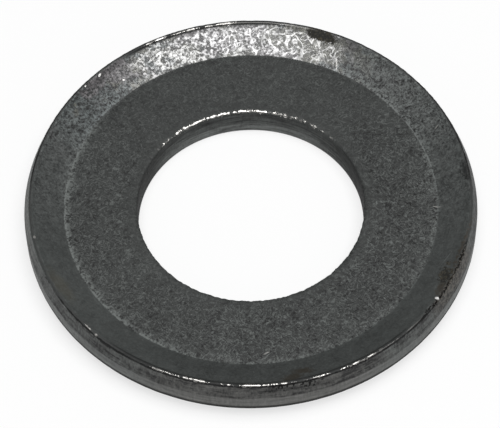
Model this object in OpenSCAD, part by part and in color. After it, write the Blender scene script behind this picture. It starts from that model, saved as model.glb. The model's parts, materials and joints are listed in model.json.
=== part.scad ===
// Dished spring washer for an M10 bolt.
//
// One stamping from flat steel strip. The bore and the outside are sheared,
// then the rim is pressed upward, so that the washer is a shallow dish: a
// flat land round the bore, and a rim that rises outward from a crease.
// Millimetres, +Z up. The origin is the centre of the bore, in the plane of
// the flat underside that the washer rests on.

/* [Washer] */

// Outside diameter, at the widest part of the edge
outer_d = 21; // [20:0.1:24]
// Diameter of the bore
bore_d = 10.5; // [8.4:0.1:12]
// Thickness of the flat land round the bore
land_t = 1.5; // [1.2:0.05:2.4]

/* [Turned-up rim] */

// Width of the rim, from the crease to the outside
rim_w = 1.85; // [1.2:0.05:2.2]
// Height of the rim's lip above the land
rim_rise = 0.79; // [0.5:0.01:1.2]
// Rise of the underside, from below the crease to the outside
under_rise = 0.59; // [0.3:0.01:0.7]

/* [Shoulder of the land] */

// Width of the rounded shoulder where the land drops to the crease
shoulder_w = 0.5; // [0.3:0.05:1.2]
// Depth of the crease below the land
crease_depth = 0.02; // [0.01:0.01:0.15]

/* [Outer edge] */

// Height of the torn part of the sheared edge, down from the lip
torn_h = 0.75; // [0.3:0.05:0.9]
// Distance that the lip leans in from the widest part of the edge
lip_lean = 0.26; // [0.1:0.02:0.5]
// Rounding of the lip
lip_r = 0.12; // [0.05:0.01:0.2]
// Rounding of the widest part of the edge, below the torn part
widest_r = 0.3; // [0.1:0.05:0.6]
// Radius of the rolled corner under the rim
roll_r = 0.3; // [0.1:0.05:0.6]

/* [Edges of the bore] */

// Rounding of the bore's upper edge
bore_top_r = 0.12; // [0.05:0.01:0.4]
// Rounding of the bore's lower edge
bore_foot_r = 0.1; // [0.05:0.01:0.4]

/* [Hidden] */

$fn = 180;

// Straight steps in each rounding of the section
ARC_STEPS = 8;
// The share of a straight side that the rounding at one of its ends may use
SIDE_SHARE = 0.48;

outer_r = outer_d / 2;
bore_r = bore_d / 2;
crease_r = outer_r - rim_w;
lip_z = land_t + rim_rise;
steel = [0.26, 0.27, 0.27];

// Corners of the section before they are rounded: [radius from axis, height]
bore_foot = [bore_r, 0];
bore_top = [bore_r, land_t];
land_end = [crease_r - shoulder_w, land_t];
crease = [crease_r, land_t - crease_depth];
lip = [outer_r - lip_lean, lip_z];
widest = [outer_r, lip_z - torn_h];
rolled = [outer_r, under_rise];
under_crease = [crease_r, 0];

// Direction from one point to another, in degrees
function heading(from, to) = atan2(to[1] - from[1], to[0] - from[0]);

// Points along an arc, from one angle round its centre to another
function arc(centre, r, from, to) = [
    for (k = [0 : ARC_STEPS])
        let (a = from + (to - from) * k / ARC_STEPS)
        centre + r * [cos(a), sin(a)]
];

// Points that round off the corner between two straight sides. The section
// runs clockwise here, and its sides limit the radius.
function rounded(before, corner, after, radius) =
    let (
        start = heading(before, corner),
        end = heading(corner, after),
        turn = start - end + (end > start ? 360 : 0),
        room = SIDE_SHARE * min(norm(corner - before), norm(after - corner)),
        reach = min(radius * tan(turn / 2), room),
        r = reach / tan(turn / 2),
        tangent = corner - reach * [cos(start), sin(start)],
        centre = tangent + r * [sin(start), -cos(start)]
    )
    arc(centre, r, start + 90, start + 90 - turn);

// The shoulder leaves the land level and bends down as far as the crease
function shoulder() =
    let (
        bend = 2 * atan2(crease_depth, shoulder_w),
        r = shoulder_w / sin(bend)
    )
    arc(land_end - [0, r], r, 90, 90 - bend);

module section() {
    polygon(concat(
        rounded(under_crease, bore_foot, bore_top, bore_foot_r),
        rounded(bore_foot, bore_top, land_end, bore_top_r),
        shoulder(),
        rounded(crease, lip, widest, lip_r),
        rounded(lip, widest, rolled, widest_r),
        rounded(widest, rolled, under_crease, roll_r),
        [under_crease]
    ));
}

module washer() {
    color(steel)
        rotate_extrude()
            section();
}

washer();
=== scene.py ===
import json
import math

import bmesh
import bpy
from mathutils import Matrix, Vector, noise


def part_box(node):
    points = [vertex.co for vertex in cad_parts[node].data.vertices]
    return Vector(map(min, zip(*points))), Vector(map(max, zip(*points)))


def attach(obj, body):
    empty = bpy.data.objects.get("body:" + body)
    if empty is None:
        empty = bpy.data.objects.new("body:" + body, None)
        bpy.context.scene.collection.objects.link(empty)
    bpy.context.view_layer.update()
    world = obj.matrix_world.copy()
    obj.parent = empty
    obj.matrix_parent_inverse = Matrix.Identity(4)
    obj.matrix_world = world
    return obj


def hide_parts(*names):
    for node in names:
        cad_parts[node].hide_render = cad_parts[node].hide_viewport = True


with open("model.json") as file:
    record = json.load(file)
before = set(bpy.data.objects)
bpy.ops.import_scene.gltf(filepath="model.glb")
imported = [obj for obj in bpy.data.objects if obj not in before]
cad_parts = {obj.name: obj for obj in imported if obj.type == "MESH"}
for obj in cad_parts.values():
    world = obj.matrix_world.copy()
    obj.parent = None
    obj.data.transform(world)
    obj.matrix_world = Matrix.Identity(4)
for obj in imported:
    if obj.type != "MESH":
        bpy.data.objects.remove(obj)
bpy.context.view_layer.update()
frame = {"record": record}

scene = bpy.context.scene
scene.view_settings.view_transform = "Standard"


# ---- Camera -------------------------------------------------------------
# A long lens about a hand's length away, looking down on the dished face
# from the front. It is aimed a little in front of the middle of the bore.

mm = 0.001
elevation = math.radians(55.86)
roll = math.radians(1.21)
distance = 127.6 * mm
aim = Vector((-0.043, -0.759, 1.774)) * mm

back = Vector((0, -math.cos(elevation), math.sin(elevation)))
level_up = Vector((0, math.sin(elevation), math.cos(elevation)))
right = Vector((1, 0, 0)) * math.cos(roll) - level_up * math.sin(roll)
camera_up = Vector((1, 0, 0)) * math.sin(roll) + level_up * math.cos(roll)
turn = Matrix((right, camera_up, back)).transposed().to_4x4()

camera = bpy.data.objects.new("camera", bpy.data.cameras.new("camera"))
camera.data.sensor_width = 36
camera.data.lens = 199.3
camera.data.clip_start = 10 * mm
camera.data.clip_end = 5
camera.matrix_world = Matrix.Translation(aim + back * distance) @ turn
scene.collection.objects.link(camera)
scene.camera = camera


# ---- Light and floor ----------------------------------------------------
# One round softbox overhead in a dim room, over a sheet of white paper. The
# paper glows a little, so that the shadow on it stays light.

lamp_distance = 0.5
lamp_way = Vector((0.08, -0.13, 1)).normalized()
lamp_half_angle = math.radians(23)
lamp_radiance = 6.3
room_in_front = 0.3
room_behind = 0.08
floor_half_width = 3
floor_drop = 0.02 * mm
paper_white = (0.85, 0.85, 0.85, 1)
glow_share = 0.7

lamp = bpy.data.lights.new("softbox", "AREA")
lamp.shape = "DISK"
lamp.size = 2 * lamp_distance * math.tan(lamp_half_angle)
lamp.energy = lamp_radiance * math.pi * math.pi * (lamp.size / 2) ** 2
softbox = bpy.data.objects.new("softbox", lamp)
softbox.location = lamp_way * lamp_distance
softbox.rotation_euler = lamp_way.to_track_quat("Z", "Y").to_euler()
scene.collection.objects.link(softbox)

world = bpy.data.worlds.new("studio")
scene.world = world
world.use_nodes = True
nodes, links = world.node_tree.nodes, world.node_tree.links
direction = nodes.new("ShaderNodeTexCoord")
axes = nodes.new("ShaderNodeSeparateXYZ")
links.new(direction.outputs["Generated"], axes.inputs[0])
dimming = nodes.new("ShaderNodeMapRange")
dimming.inputs["From Min"].default_value = -1
dimming.inputs["From Max"].default_value = 1
dimming.inputs["To Min"].default_value = room_in_front
dimming.inputs["To Max"].default_value = room_behind
links.new(axes.outputs["Y"], dimming.inputs["Value"])
links.new(dimming.outputs[0], nodes["Background"].inputs["Color"])

floor_mesh = bpy.data.meshes.new("floor")
shape = bmesh.new()
bmesh.ops.create_grid(shape, x_segments=1, y_segments=1, size=floor_half_width)
bmesh.ops.translate(shape, verts=shape.verts, vec=(0, 0, -floor_drop))
shape.to_mesh(floor_mesh)
shape.free()
floor = bpy.data.objects.new("floor", floor_mesh)
scene.collection.objects.link(floor)

paper = bpy.data.materials.new("white_paper")
paper.use_nodes = True
nodes, links = paper.node_tree.nodes, paper.node_tree.links
matt = nodes["Principled BSDF"]
matt.inputs["Base Color"].default_value = paper_white
matt.inputs["Roughness"].default_value = 0.9
glow = nodes.new("ShaderNodeEmission")
paths = nodes.new("ShaderNodeLightPath")
seen = paths.outputs["Is Camera Ray"]
for also in ("Is Glossy Ray", "Is Transmission Ray"):
    either = nodes.new("ShaderNodeMath")
    either.operation = "MAXIMUM"
    links.new(seen, either.inputs[0])
    links.new(paths.outputs[also], either.inputs[1])
    seen = either.outputs[0]
share = nodes.new("ShaderNodeMath")
share.operation = "MULTIPLY"
share.inputs[1].default_value = glow_share
links.new(seen, share.inputs[0])
lit = nodes.new("ShaderNodeMixShader")
links.new(share.outputs[0], lit.inputs[0])
links.new(matt.outputs[0], lit.inputs[1])
links.new(glow.outputs[0], lit.inputs[2])
links.new(lit.outputs[0], nodes["Material Output"].inputs["Surface"])
floor_mesh.materials.append(paper)


# ---- Washer -------------------------------------------------------------
# One stamping from flat steel strip, blackened and oiled. The bore and the
# outside are sheared, and the rim is pressed upward, so that it is a shallow
# dish with a flat land round the bore.

# Sizes in millimetres. The surface stays a little inside the solid's box.
shoulder = 0.5
crease_depth = 0.02
rim_width = 1.85
rim_rise = 0.79
lip_lean = 0.26
torn_height = 0.75
under_rise = 0.59
margin = 0.005

# Radii from the axis, and heights above the flat underside
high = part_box("washer")[1]
mounts = {mount["name"]: mount for mount in frame["record"]["mounts"]}
bore = mounts["bore"]["dims"]["r_mm"]
outer = min(high.x, high.y) / mm - margin
crease = outer + margin - rim_width
lip_r = outer + margin - lip_lean
top = high.z / mm
land = mounts["land"]["pos_m"][2] / mm
crease_z = land - crease_depth
lip_z = land + rim_rise
widest_z = lip_z - torn_height

# The section, as corners: radius, height, length cut off for the rounding
# and number of faces in the rounding. A burr stands up along the lip.
corners = [
    (bore, 0, 0.1, 3),
    (bore, land, 0.12, 4),
    (bore + 0.4, land, 0, 0),
    (crease - shoulder / 2, land, shoulder / 2 - 0.01, 4),
    (crease, crease_z, 0.02, 1),
    (lip_r - 0.19, top - 0.09, 0.015, 2),
    (lip_r - 0.15, top - 0.02, 0.015, 2),
    (lip_r - 0.035, top - 0.006, 0.04, 4),
    (lip_r + 0.055, top - 0.115, 0.03, 2),
    (outer, widest_z, 0.06, 4),
    (outer, under_rise, 0.21, 5),
    (crease, 0, 0, 0),
]
form = bmesh.new()
line = [form.verts.new((r, 0, z)) for r, z, _, _ in corners]
for i in range(len(line)):
    form.edges.new((line[i - 1], line[i]))
for vert, (_, _, cut, faces) in zip(line, corners):
    if cut:
        bmesh.ops.bevel(form, geom=[vert], offset=cut, offset_type="OFFSET", segments=faces,
                        profile=0.5, affect="VERTICES", material=-1)


# The width of the faces along the section: finest on the torn wall
def face_width(point):
    if point.z < under_rise - 0.02:
        return 0.5
    if point.x > outer - 0.3:
        return 0.07
    if point.x > crease - 0.02:
        return 0.19
    if point.z > land - 0.01 and point.x < bore + 0.4:
        return 0.1
    return 0.32


for edge in form.edges[:]:
    middle = (edge.verts[0].co + edge.verts[1].co) / 2
    cuts = math.ceil(edge.calc_length() / face_width(middle)) - 1
    if cuts > 0:
        bmesh.ops.subdivide_edges(form, edges=[edge], cuts=cuts)

# It is spun as one slice, and the slices are set round and joined.
slices = 12
steps_per_slice = 90
bmesh.ops.spin(form, geom=form.verts[:] + form.edges[:], cent=(0, 0, 0), axis=(0, 0, 1),
               angle=2 * math.pi / slices, steps=steps_per_slice)
cut_slice = form.verts[:] + form.edges[:] + form.faces[:]
for k in range(1, slices):
    copy = bmesh.ops.duplicate(form, geom=cut_slice)["geom"]
    bmesh.ops.rotate(form, cent=(0, 0, 0), matrix=Matrix.Rotation(2 * math.pi * k / slices, 3, "Z"),
                     verts=[v for v in copy if isinstance(v, bmesh.types.BMVert)])
bmesh.ops.remove_doubles(form, verts=form.verts, dist=0.001)
bmesh.ops.recalc_face_normals(form, faces=form.faces)


# Shearing and handling leave every surface uneven. Each point moves inward
# by a few hundredths of a millimetre, and where the burr is worn flush it
# comes down to the line of the rim.
def fade(value, start, end):
    t = min(max((value - start) / (end - start), 0), 1)
    return t * t * (3 - 2 * t)


def lumps(point, across, upright, height, seed):
    scaled = Vector((point.x / across, point.y / across, point.z / upright))
    return height * noise.noise(scaled + Vector((seed, seed, seed)))


def dips(point, across, depth, seed):
    scaled = Vector((point.x, point.y, point.z * 0.3)) / across
    return depth * max(0, noise.noise(scaled + Vector((seed, 0, seed))))


def worn(p):
    r = math.hypot(p.x, p.y)
    out = Vector((p.x, p.y, 0)) / r
    bearing = math.degrees(math.atan2(p.y, p.x)) % 360
    inward, down = 0, 0

    # The burr is worn flush at the two sides, and torn off here and there
    on_burr = fade(r, lip_r - 0.18, lip_r - 0.14) * fade(p.z, top - 0.12, top - 0.05)
    flush = (fade(r, lip_r - 0.27, lip_r - 0.22) * (1 - fade(r, lip_r - 0.1, lip_r - 0.06))
             * fade(p.z, top - 0.2, top - 0.15))
    left_behind = fade(bearing, 76, 90) * (1 - fade(bearing, 118, 130))
    left_in_front = fade(bearing, 226, 238) * (1 - fade(bearing, 304, 316))
    rim_line = crease_z + (r - crease) * (lip_z - crease_z) / (lip_r - crease)
    down += flush * (1 - left_behind - left_in_front) * (p.z - rim_line + 0.006)
    down += on_burr * dips(p, across=0.3, depth=0.03, seed=11)
    down += on_burr * dips(p, across=0.9, depth=0.03, seed=5)
    inward += on_burr * dips(p, across=0.4, depth=0.03, seed=3)
    inward -= on_burr * (1 - fade(r, lip_r - 0.12, lip_r - 0.05)) * dips(p, across=0.5, depth=0.03, seed=8)

    # Upright tears, and a wavering edge below them
    on_torn = (fade(p.z, widest_z - 0.03, widest_z + 0.08) * (1 - fade(p.z, lip_z - 0.2, lip_z - 0.06))
               * fade(r, lip_r - 0.1, lip_r - 0.02))
    tears = (0.5 + lumps(p, across=0.07, upright=0.55, height=0.5, seed=21)
             + lumps(p, across=0.25, upright=0.4, height=0.5, seed=27))
    wavering = 1 - fade(p.z, widest_z + 0.1, widest_z + 0.4)
    inward += on_torn * 0.035 * max(0, tears)
    down += on_torn * wavering * lumps(p, across=0.5, upright=1, height=0.05, seed=31)

    # Burnished wall below
    on_lower = fade(r, outer - 0.15, outer - 0.02) * (1 - fade(p.z, widest_z - 0.1, widest_z))
    inward += on_lower * (0.006 + lumps(p, across=0.4, upright=0.8, height=0.006, seed=41))

    # Dished face
    on_face = (fade(p.z, land - 0.1, land - 0.04) * (1 - fade(r, lip_r - 0.23, lip_r - 0.15))
               * fade(r, bore + 0.1, bore + 0.3))
    down += on_face * (0.006 + lumps(p, across=0.3, upright=1, height=0.002, seed=51)
                       + lumps(p, across=1.2, upright=1, height=0.004, seed=57))

    # Edge and wall of the bore. The steel lies outward here.
    on_edge = (1 - fade(r, bore + 0.08, bore + 0.22)) * fade(p.z, land - 0.3, land - 0.1)
    on_bore = (1 - fade(r, bore + 0.01, bore + 0.1)) * (1 - on_edge) * fade(p.z, 0, 0.2)
    inward -= on_edge * (0.012 + lumps(p, across=0.12, upright=1, height=0.014, seed=61)
                         + lumps(p, across=0.5, upright=1, height=0.012, seed=67)
                         + dips(p, across=0.2, depth=0.05, seed=64))
    down += on_edge * (0.01 + lumps(p, across=0.15, upright=1, height=0.012, seed=71)
                       + dips(p, across=0.25, depth=0.05, seed=74))
    inward -= on_bore * (0.006 + lumps(p, across=0.1, upright=0.8, height=0.006, seed=81))
    return p - out * inward - Vector((0, 0, down))


for vert in form.verts:
    vert.co = worn(vert.co)

bmesh.ops.scale(form, vec=(mm, mm, mm), verts=form.verts)
for face in form.faces:
    face.smooth = True
washer_mesh = bpy.data.meshes.new("washer_dressed")
form.to_mesh(washer_mesh)
form.free()
washer = bpy.data.objects.new("washer_dressed", washer_mesh)
scene.collection.objects.link(washer)
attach(washer, "root")
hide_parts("washer")

# Blackened steel: a matt, mottled black film with a thin coat of oil on the pressed rim, and bare metal where
# the edges are worn. A few worn nicks and high grains carry painted glints, and the film's colour holds
# painted shade and light in places.
steel = bpy.data.materials.new("blackened_steel")
steel.use_nodes = True
washer_mesh.materials.append(steel)
nodes, links = steel.node_tree.nodes, steel.node_tree.links
finish = nodes["Principled BSDF"]


def feed(socket, value):
    if isinstance(value, bpy.types.NodeSocket):
        links.new(value, socket)
    else:
        socket.default_value = value


def work(operation, *terms):
    node = nodes.new("ShaderNodeMath")
    node.operation = operation
    for socket, term in zip(node.inputs, terms):
        feed(socket, term)
    return node.outputs[0]


def joined(operation, terms):
    total = terms[0]
    for term in terms[1:]:
        total = work(operation, total, term)
    return total


def times(*terms):
    return joined("MULTIPLY", terms)


def plus(*terms):
    return joined("ADD", terms)


def most(*terms):
    return joined("MAXIMUM", terms)


def all_but(share):
    return work("SUBTRACT", 1.0, share)


def away_from(value, level):
    return work("ABSOLUTE", work("SUBTRACT", value, level))


# A smooth change from low, where the value is at start, to high at end
def mask(value, start, end, low=0.0, high=1.0):
    node = nodes.new("ShaderNodeMapRange")
    node.interpolation_type = "SMOOTHSTEP"
    for socket, term in zip(node.inputs, (value, start, end, low, high)):
        feed(socket, term)
    return node.outputs[0]


def falling(value, start, end):
    return mask(value, start, end, 1.0, 0.0)


def tint(share, first, second):
    node = nodes.new("ShaderNodeMix")
    node.data_type = "RGBA"
    feed(node.inputs["Factor"], share)
    for name, colour in (("A", first), ("B", second)):
        socket = [s for s in node.inputs if s.name == name and s.type == "RGBA"][0]
        feed(socket, (*colour, 1) if isinstance(colour, tuple) else colour)
    return [s for s in node.outputs if s.type == "RGBA"][0]


# Places on the washer, in millimetres and as bearings from +X
coordinates = nodes.new("ShaderNodeTexCoord")
scaled_up = nodes.new("ShaderNodeVectorMath")
scaled_up.operation = "SCALE"
feed(scaled_up.inputs[0], coordinates.outputs["Object"])
feed(scaled_up.inputs["Scale"], 1 / mm)
place = scaled_up.outputs[0]
split = nodes.new("ShaderNodeSeparateXYZ")
feed(split.inputs[0], place)
x, y, height = split.outputs
radius = work("SQRT", plus(times(x, x), times(y, y)))


# 1 at the bearing, 0 at right angles to it and -1 opposite
def toward(bearing):
    way = math.radians(bearing)
    return work("DIVIDE", plus(times(x, math.cos(way)), times(y, math.sin(way))), radius)


facing_right = toward(0)
facing_back = toward(90)
facing_front = toward(270)


# Noise that runs from 0 to 1 about a half, with lumps of the size given
def grain(size, detail=2.0, harshness=0.5, drift=0.0, tall=1.0, shift=0.0):
    stretch = nodes.new("ShaderNodeMapping")
    feed(stretch.inputs["Vector"], place)
    feed(stretch.inputs["Location"], (shift, shift, shift))
    feed(stretch.inputs["Scale"], (1 / size, 1 / size, 1 / (size * tall)))
    node = nodes.new("ShaderNodeTexNoise")
    feed(node.inputs["Vector"], stretch.outputs[0])
    feed(node.inputs["Scale"], 1.0)
    feed(node.inputs["Detail"], detail)
    feed(node.inputs["Roughness"], harshness)
    feed(node.inputs["Distortion"], drift)
    return node.outputs[0]


def swing(pattern, strength):
    return work("MULTIPLY", work("SUBTRACT", pattern, 0.5), strength)


def threads(pattern, level, width):
    return falling(away_from(pattern, level), width * 0.4, width)


fine = grain(0.11, harshness=0.6, drift=0.3)
speck = grain(0.22, harshness=0.6, drift=0.8, shift=8.8)
blotch = grain(0.24, detail=3.0, harshness=0.62, drift=0.7, shift=7.3)
patch = grain(0.7, shift=4.4)
broad = grain(2.2, shift=3.1)
curl = grain(0.5, detail=1.0, drift=2.4, shift=1.9)
kink = grain(0.4, detail=1.0, drift=2.0, shift=6.2)
loop = grain(0.4, detail=0.0, drift=0.9, shift=9.4)
streaks = grain(0.1, harshness=0.6, tall=6.0, shift=5.7)
layers = grain(1.3, detail=3.0, harshness=0.6, drift=0.2, tall=0.1, shift=2.7)

# Where each surface is, as shares from 0 to 1
on_face = mask(height, land - 0.12, land - 0.06)
outside_crease = mask(radius, crease, crease + 0.03)
on_land = times(on_face, all_but(outside_crease), mask(radius, bore + 0.02, bore + 0.08))
burr_here = most(mask(toward(103), 0.9, 0.95), mask(toward(272), 0.72, 0.82))
burr_foot = plus(radius, swing(patch, 0.12), times(burr_here, 0.1))
on_rim = times(on_face, outside_crease, falling(burr_foot, lip_r - 0.15, lip_r - 0.09))
on_burr = times(mask(height, top - 0.14, top - 0.1), mask(radius, lip_r - 0.23, lip_r - 0.2), burr_here)
on_wall = times(mask(radius, lip_r - 0.02, lip_r + 0.03), mask(height, under_rise - 0.3, under_rise))
torn_share = mask(plus(height, swing(patch, 0.16)), widest_z - 0.04, widest_z + 0.04)
on_torn = times(on_wall, torn_share)
on_lower = times(on_wall, all_but(torn_share))
on_bore = times(falling(radius, bore + 0.03, bore + 0.09), all_but(mask(height, land - 0.1, land - 0.04)))
over_under = work("SUBTRACT", height, mask(radius, crease, outer, 0.0, under_rise))
on_under = times(falling(over_under, 0.04, 0.12), mask(radius, bore + 0.05, bore + 0.15))

# The film on the land: light curls and hairs, and dark pits, all weaker next
# to the bore and at the back
curls = times(threads(curl, 0.5, 0.045), mask(speck, 0.38, 0.5))
hairs = times(threads(kink, 0.47, 0.04), mask(blotch, 0.4, 0.5))
pits = falling(plus(speck, swing(fine, 0.5)), 0.33, 0.42)
dim_ring = bore + 1.25
dim_patch = times(mask(toward(28), 0.8, 0.93), falling(away_from(radius, dim_ring), 0.2, 0.7))
land_mottle = plus(-0.26, times(dim_patch, -0.14), times(curls, 1.6), times(hairs, 1.2),
                   times(pits, -0.45), swing(patch, 0.8), swing(fine, 1.5))
calm_by_bore = mask(plus(radius, swing(patch, 0.8)), bore + 0.2, bore + 0.8, 0.5, 1.0)
calm_behind = times(mask(facing_back, 0.3, 0.9, 1.0, 0.55), mask(facing_right, -0.9, -0.2, 0.85, 1.0))
land_mottle = times(land_mottle, most(times(on_land, calm_by_bore, calm_behind), on_under))

# The shoulder is rubbed paler at both sides, and less in front. The rub ends
# in a thin line along the crease.
rubbed = most(mask(toward(200), 0.4, 0.9, 0.0, 1.2), mask(toward(355), 0.8, 0.97, 0.0, 0.55),
              mask(toward(285), 0.2, 0.8, 0.0, 0.36))
rub_speck = mask(plus(times(speck, 0.5), times(fine, 0.5)), 0.44, 0.56)
shoulder_rub = times(mask(plus(radius, swing(patch, 0.3)), crease - 0.42, crease - 0.04),
                     all_but(outside_crease), on_face, rubbed, rub_speck)
line_place = mask(facing_right, 0.0, 0.7, crease - 0.03, crease + 0.03)
line_width = mask(facing_right, 0.0, 0.7, 0.075, 0.05)
line_gaps = mask(plus(patch, swing(fine, 1.0)), 0.25, 0.45)
crease_line = times(falling(away_from(radius, line_place), 0.01, line_width), on_face,
                    most(rubbed, mask(toward(24), 0.88, 0.95)), line_gaps)
crease_light = plus(0.9, times(rub_speck, 0.7), mask(toward(22), 0.85, 0.97))
shoulder_mottle = plus(times(shoulder_rub, 1.9), times(crease_line, crease_light))

# The film on the rim: plain in front, with light strokes at the back and light flecks along the crease
crease_flecks = times(falling(radius, crease + 0.1, crease + 0.45), on_rim, rub_speck,
                    most(mask(toward(40), 0.8, 0.95), mask(toward(145), 0.8, 0.95)))
strokes = plus(times(threads(curl, 0.56, 0.05), 0.8), times(threads(kink, 0.43, 0.04), 0.8),
               swing(fine, 3.2), swing(speck, 2.2), -0.3)
stroke_strength = plus(0.3, mask(facing_back, -0.3, 0.1, 0.0, 0.4), mask(facing_back, 0.2, 0.6, 0.0, 1.3))
painted_light_by_lip = times(mask(radius, lip_r - 0.9, lip_r - 0.3, 0.0, 0.16), mask(facing_front, -0.3, 0.1))
painted_light_at_sides = plus(mask(toward(229), 0.84, 0.98, 0.0, 0.2), mask(toward(48), 0.8, 0.95, 0.0, 0.3))
# Painted shade makes the rim's film darker in front, and painted light makes it paler at the two sides and by
# the lip in front
rim_mottle = plus(mask(facing_front, 0.6, 0.95, 0.42, 0.24), painted_light_by_lip, painted_light_at_sides,
                  swing(patch, 0.8), swing(blotch, 0.5), times(crease_flecks, 1.1),
                  times(strokes, stroke_strength), times(rub_speck, mask(facing_front, -0.5, 0.3, 0.2, 0.05)))

# The wall: torn and dented above, burnished below, and dark at its foot with painted shade. The torn part is
# painted lighter at the left side, as painted light.
foot_z = under_rise + 0.25
dents = falling(plus(times(layers, 0.5), times(speck, 0.5)), 0.4, 0.47)
# The torn part is painted lighter towards bearing 172, the left side: painted light
torn_mottle = plus(0.37, mask(height, top - 0.3, top - 0.12, 0.0, 0.5), swing(blotch, 3.5),
                   swing(patch, 2.5), swing(streaks, 4.0), swing(layers, 5.0), times(dents, -0.8),
                   times(mask(toward(172), 0.82, 0.97), 1.1))
lower_mottle = plus(mask(height, foot_z + 0.14, foot_z + 0.41, 2.35, 1.7), swing(layers, 5.0),
                    swing(streaks, 3.0), swing(speck, 2.0))
# Painted shade darkens the foot of the wall
painted_foot_shade = plus(mask(plus(height, swing(patch, 0.08)), foot_z + 0.03, foot_z + 0.16, -0.72, 0.0),
                  mask(height, foot_z - 0.14, foot_z, -0.1, 0.0))

# The wall of the bore: streaked, in three bands one above the other. The lowest band, at its foot, is painted
# shade, and the wall is painted darker away from the back as painted shade.
bore_mottle = plus(swing(speck, 1.0), swing(layers, 3.5), swing(streaks, 0.7))
bore_level = plus(height, swing(patch, 0.25))
bore_bands = plus(mask(bore_level, 0.9, 1.15, 1.5, 1.22), mask(bore_level, 0.52, 0.66, 0.75, 0.0),
                  mask(bore_level, 0.1, 0.28, -0.5, 0.0))
bore_bands_and_painted_shade = plus(times(bore_bands, mask(facing_back, 0.35, 0.85, 0.4, 1.15)), -1.0)

section_place = nodes.new("ShaderNodeCombineXYZ")
feed(section_place.inputs[0], radius)
feed(section_place.inputs[1], height)


# A soft line round the washer, through the point (r, z) of its section
def ring(r, z, reach, ragged):
    way = nodes.new("ShaderNodeVectorMath")
    way.operation = "DISTANCE"
    feed(way.inputs[0], section_place.outputs[0])
    feed(way.inputs[1], (r, z, 0))
    return falling(plus(way.outputs["Value"], ragged), reach * 0.7, reach * 1.3)


# A black line of painted shade runs along the outside of the lip, with gaps
lip_shade_gaps = plus(swing(patch, 0.1), swing(speck, 0.12))
painted_lip_shade = most(
    times(mask(toward(268), 0.5, 0.57), ring(lip_r + 0.02, top - 0.07, 0.05, lip_shade_gaps)),
    times(mask(toward(146), 0.84, 0.9), ring(lip_r - 0.01, top - 0.03, 0.055, times(lip_shade_gaps, 0.6))),
    times(mask(toward(38), 0.8, 0.88), ring(lip_r - 0.02, top - 0.03, 0.05, lip_shade_gaps)),
)

film_light = plus(1.0, land_mottle, shoulder_mottle, times(rim_mottle, on_rim), times(torn_mottle, on_torn),
                  times(lower_mottle, on_lower), times(bore_mottle, on_bore), swing(broad, 0.5))
# Painted shade darkens the top of the burr, the foot of the wall and parts of the bore
film_shade = plus(1.0, times(on_bore, bore_bands_and_painted_shade), times(on_lower, painted_foot_shade), times(on_burr, -0.55))
film_light = times(film_light, film_shade, all_but(times(painted_lip_shade, 0.9)))

# The film is a green black, with bluish, yellowish and pinkish tints at the
# back of the rim, and warmer on the front of the wall
land_black = (0.120, 0.130, 0.125)
rim_black = (0.120, 0.130, 0.126)
wall_black = (0.121, 0.130, 0.125)
bluish = (0.113, 0.132, 0.132)
yellowish = (0.137, 0.137, 0.112)
pinkish = (0.134, 0.125, 0.130)
warm = (0.128, 0.128, 0.121)
behind = tint(mask(plus(patch, times(toward(88), 0.6)), 0.94, 1.04), bluish, yellowish)
behind = tint(mask(plus(broad, swing(speck, 0.3)), 0.53, 0.6), behind, pinkish)
rim_hue = tint(mask(toward(105), 0.5, 0.85), rim_black, behind)
wall_hue = tint(mask(toward(272), 0.8, 0.95), wall_black, warm)
film_hue = tint(on_wall, tint(on_rim, land_black, rim_hue), wall_hue)

# Marks on the plan of the washer, each as a stretched spot: the radius and
# bearing of its two ends, half its width, how ragged its edge is and how soft
plan = nodes.new("ShaderNodeCombineXYZ")
feed(plan.inputs[0], x)
feed(plan.inputs[1], y)


def spot(start, end, half_width, ragged, softness):
    first, last = (Vector((r * math.cos(math.radians(a)), r * math.sin(math.radians(a)), 0))
                   for r, a in (start, end))
    centred = nodes.new("ShaderNodeMapping")
    centred.vector_type = "TEXTURE"
    feed(centred.inputs["Vector"], plan.outputs[0])
    feed(centred.inputs["Location"], (first + last) / 2)
    feed(centred.inputs["Rotation"], (0, 0, math.atan2(last.y - first.y, last.x - first.x)))
    feed(centred.inputs["Scale"], ((last - first).length / 2 + half_width, half_width, 1))
    way = nodes.new("ShaderNodeVectorMath")
    way.operation = "LENGTH"
    feed(way.inputs[0], centred.outputs[0])
    return falling(plus(way.outputs["Value"], swing(speck, ragged)), 1 - softness, 1 + softness)


def spots(*marks):
    return most(*[spot(*mark) for mark in marks])


# Dull scratches in the film, a dark patch at the right edge, and a stain and pits in the front of the torn
# wall. The pits are painted black as their shade.
dull_scratches = times(on_face, spots(
    ((7.6, 357.0), (8.3, 357.4), 0.014, 2.5, 0.6),
    ((8.1, 352.8), (8.62, 353.2), 0.014, 2.5, 0.6),
    ((8.2, 350.2), (8.6, 350.6), 0.014, 2.5, 0.6),
    ((7.9, 1.5), (8.55, 2.0), 0.014, 2.5, 0.6),
    ((8.0, 348.0), (8.5, 348.4), 0.014, 2.5, 0.6),
    ((8.3, 345.6), (8.62, 346.0), 0.014, 2.5, 0.6),
    ((9.42, 336.5), (9.65, 340.8), 0.018, 2.0, 0.5),
    ((6.9, 262.0), (7.3, 262.8), 0.014, 2.5, 0.6),
))
dark_patch = times(on_face, spot((10.1, 8.8), (10.08, 5.4), 0.2, 3.6, 0.35))
wall_stain = times(on_torn, spot((10.36, 275.0), (10.36, 281.5), 0.13, 3.0, 0.3))
painted_shade_pits = times(on_torn, spot((10.36, 274.0), (10.36, 287.5), 0.3, 1.0, 0.3),
                  mask(height, top - 0.46, top - 0.36),
                  mask(plus(times(speck, 0.5), times(streaks, 0.5)), 0.505, 0.555))
film_light = plus(film_light, times(dull_scratches, 1.1), times(wall_stain, -0.35))
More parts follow.
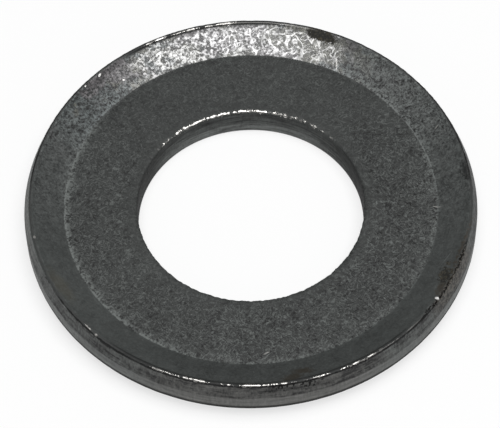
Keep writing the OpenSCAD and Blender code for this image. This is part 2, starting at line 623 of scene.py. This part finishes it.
film_light = times(film_light, all_but(times(dark_patch, 0.64)), all_but(times(painted_shade_pits, 0.9)))

# The hues are those of a film four times as light as the plain one
plain_share = 0.25
black = (0.0, 0.0, 0.0)
film = tint(times(film_light, plain_share), black, film_hue)

# Brown tinges of old oil on the rim
brown = (0.038, 0.031, 0.023)
dark_brown = (0.026, 0.022, 0.016)
olive = (0.075, 0.066, 0.045)
tinges = times(on_face, spots(
    ((10.12, 329.0), (10.16, 348.0), 0.07, 5.0, 0.5),
    ((9.92, 330.6), (10.0, 327.4), 0.16, 4.0, 0.9),
))
front_tinges = times(on_face, spots(
    ((9.86, 278.4), (9.8, 281.6), 0.19, 1.8, 0.45),
    ((9.52, 281.6), (9.6, 284.4), 0.19, 1.8, 0.45),
))
left_tinge = times(on_rim, spot((9.9, 205.0), (9.8, 211.5), 0.3, 1.5, 0.6))
film = tint(times(tinges, 0.75), film, brown)
film = tint(times(front_tinges, 0.8), film, dark_brown)
film = tint(times(left_tinge, 0.3), film, olive)

# Dry crusts of dirt, two at the back and one at the right
stains = times(on_face, spots(
    ((10.02, 71.6), (9.98, 69.4), 0.27, 1.6, 0.2),
    ((9.93, 68.6), (9.93, 66.2), 0.26, 1.6, 0.2),
    ((9.78, 333.9), (9.94, 331.2), 0.25, 4.2, 0.3),
))
crust_black = (0.010, 0.010, 0.008)
crust_brown = (0.048, 0.042, 0.028)
crust = tint(mask(plus(times(blotch, 0.6), times(fine, 0.4)), 0.46, 0.64), crust_black, crust_brown)
film = tint(times(stains, 0.95), film, crust)

# Brown grit in the lip beside the stain on the right, and a crack in it, painted black as its shade
grit_here = times(mask(toward(333), 0.976, 0.997), mask(radius, lip_r - 0.16, lip_r - 0.06),
                  mask(height, land - 0.05, land + 0.3))
grit_black = (0.008, 0.007, 0.005)
grit_brown = (0.086, 0.077, 0.065)
grit = tint(mask(plus(times(speck, 0.4), times(fine, 0.6)), 0.43, 0.57), grit_black, grit_brown)
film = tint(times(grit_here, 0.85), film, grit)
crack_path = plus(radius, swing(patch, 0.2), swing(speck, 0.36))
crack_painted_shade = times(mask(toward(331), 0.966, 0.985), mask(height, top - 0.3, top - 0.2),
              threads(crack_path, lip_r - 0.07, 0.044))
crack_shade_black = (0.003, 0.003, 0.002)
film = tint(times(crack_painted_shade, 0.92), film, crack_shade_black)

# Bare metal along the burr, in front and at the back
dashes = plus(swing(patch, 0.28), swing(speck, 0.26), swing(fine, 0.14))
thin_gaps = plus(swing(speck, 0.07), swing(patch, 0.07))
lip_wear = most(
    times(mask(toward(272), 0.84, 0.89), ring(lip_r - 0.03, top - 0.02, 0.016, dashes)),
    times(mask(toward(290), 0.88, 0.92, 0.0, 0.3), ring(lip_r - 0.03, top - 0.02, 0.014, thin_gaps)),
    times(mask(toward(106), 0.968, 0.978), ring(lip_r - 0.145, top - 0.026, 0.028, dashes)),
    times(mask(toward(85), 0.965, 0.98, 0.0, 0.32), ring(lip_r - 0.14, top - 0.03, 0.025, 0.0)),
)

# Bare metal along the back edge of the bore, thinner towards its ends
bore_gaps = plus(mask(toward(92), 0.7, 0.88, 0.048, 0.0), swing(blotch, 0.3), swing(speck, 0.35))
bore_wear = times(mask(toward(93), 0.62, 0.7), ring(bore + 0.07, land - 0.01, 0.055, bore_gaps))

# Bright scratches of bare metal, and nicks and grains with painted glints: a white colour that stands in for
# their highlights
bright_scratches = times(on_face, spots(
    ((9.13, 62.25), (8.74, 60.95), 0.032, 0.3, 0.4),
    ((8.5, 357.6), (8.8, 357.2), 0.02, 2.5, 0.5),
    ((9.52, 23.4), (9.68, 23.8), 0.022, 2.0, 0.5),
    ((10.13, 191.7), (10.13, 192.0), 0.05, 0.5, 0.4),
    ((10.2, 226.3), (10.2, 226.6), 0.045, 0.5, 0.4),
    ((10.16, 222.0), (10.18, 224.6), 0.02, 4.0, 0.5),
    ((8.16, 273.2), (8.08, 274.6), 0.024, 1.5, 0.4),
))
painted_glints = times(on_face, spots(
    ((10.09, 324.8), (10.17, 324.8), 0.064, 0.5, 0.3),
    ((10.05, 134.3), (10.02, 135.0), 0.04, 0.5, 0.3),
    ((10.08, 139.9), (10.08, 140.1), 0.03, 0.5, 0.4),
    ((9.25, 129.6), (9.28, 130.0), 0.03, 0.5, 0.4),
    ((10.11, 112.8), (10.11, 115.8), 0.03, 0.8, 0.4),
))
bare_steel = (0.46, 0.45, 0.43)
white = (0.95, 0.94, 0.92)
worn_bare = most(times(lip_wear, 0.9), bore_wear, times(bright_scratches, 0.7))
bare_and_painted_glints = most(worn_bare, painted_glints)
# Worn bare steel, and the white of the painted glints
feed(finish.inputs["Base Color"], tint(bare_and_painted_glints, film, tint(painted_glints, bare_steel, white)))

# The pits and the crack are painted shade: black metal that gives back no light at all
feed(finish.inputs["Metallic"],
     most(worn_bare, times(painted_glints, 0.4), times(painted_shade_pits, 0.85), times(crack_painted_shade, 0.7)))

foot = times(on_lower, falling(height, foot_z, foot_z + 0.11))
film_roughness = plus(0.62, times(on_rim, -0.12), times(on_bore, 0.25), swing(blotch, 0.3),
                      times(stains, 0.35), times(foot, 0.5), times(painted_lip_shade, 0.3))
bare_roughness = 0.3
feed(finish.inputs["Roughness"], mask(bare_and_painted_glints, 0.0, 1.0, film_roughness, bare_roughness))
feed(finish.inputs["IOR"], 1.45)

# Oil lies on the rim in rings and blobs, less by the crease and along the
# lip, and shows where the light glances off it
facing = nodes.new("ShaderNodeLayerWeight")
feed(facing.inputs["Blend"], 0.5)
sheen = mask(facing.outputs["Facing"], 0.06, 0.5, 1.0, 0.1)
rings = most(threads(loop, 0.52, 0.085), times(threads(kink, 0.5, 0.045), 0.6))
blobs = mask(plus(times(speck, 0.4), times(fine, 0.45), times(patch, 0.15)), 0.44, 0.6)
ringed = mask(plus(patch, times(facing_right, 0.3)), 0.46, 0.56)
droplets = plus(times(plus(0.08, times(rings, plus(0.55, times(blobs, 0.8)))), ringed),
                times(blobs, all_but(ringed)))
oily_arc = mask(plus(toward(92), swing(patch, 0.1), swing(speck, 0.05)), 0.845, 0.875, 0.35, 1.0)
pools = times(mask(plus(times(patch, 0.6), times(broad, 0.4)), 0.38, 0.54, 0.6, 1.0), oily_arc,
              mask(radius, crease, crease + 0.2, 0.7, 1.0))
lip_distance = plus(radius, swing(patch, 1.0), mask(toward(106), 0.94, 0.98, 0.0, 0.12))
dry_lip = mask(lip_distance, lip_r - 0.3, lip_r - 0.14, 1.0, 0.25)
rim_oil = times(on_rim, sheen, dry_lip, all_but(stains), plus(0.06, times(droplets, pools, 0.94)))
wall_oil = plus(times(on_lower, 0.045, mask(height, foot_z, foot_z + 0.11)), times(on_torn, 0.05))
bore_oil = times(on_bore, mask(height, 0.55, 0.7, 0.12, 0.02), mask(facing_back, 0.5, 0.85))
feed(finish.inputs["Coat Weight"], plus(rim_oil, wall_oil, bore_oil))
feed(finish.inputs["Coat IOR"], 2.4)
feed(finish.inputs["Coat Roughness"], 0.25)

bump = nodes.new("ShaderNodeBump")
feed(bump.inputs["Strength"], 1.0)
feed(bump.inputs["Distance"], 0.015 * mm)
feed(bump.inputs["Height"], plus(speck, times(fine, 0.5), times(streaks, on_torn, 1.5)))
feed(finish.inputs["Normal"], bump.outputs[0])
